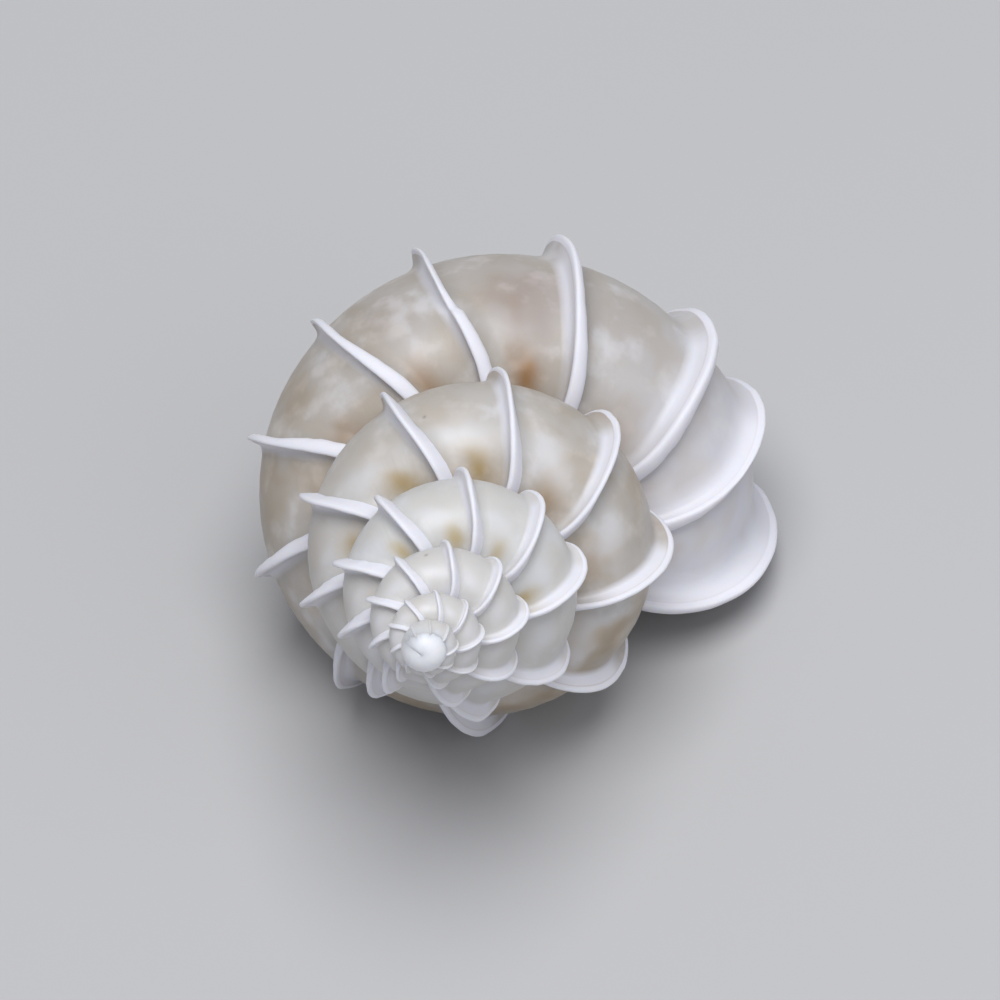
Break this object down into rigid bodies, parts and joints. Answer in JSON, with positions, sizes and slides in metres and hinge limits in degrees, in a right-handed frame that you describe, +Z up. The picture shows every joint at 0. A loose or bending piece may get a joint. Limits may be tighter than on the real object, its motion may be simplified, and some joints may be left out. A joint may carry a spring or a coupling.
{
  "type": "wentletrap shell",
  "caption": "Loosely coiled sea-snail shell with a tall spire, thin blade-like ribs across every whorl and a round open mouth, lying mouth down.",
  "frame": {"origin": "on the surface it rests on, under the centre of its bounding box", "axes": "+Z up; the apex points to -Y and is raised about 31 degrees; the mouth faces down and to +Y"},
  "size_m": [0.0176, 0.0222, 0.0145],
  "materials": {
    "shell": "satin natural shell, cream tube with faint fawn and orange-brown clouds, chalk-white ribs"
  },
  "bodies": {
    "root": {"shell": "shell"}
  },
  "joints": []
}
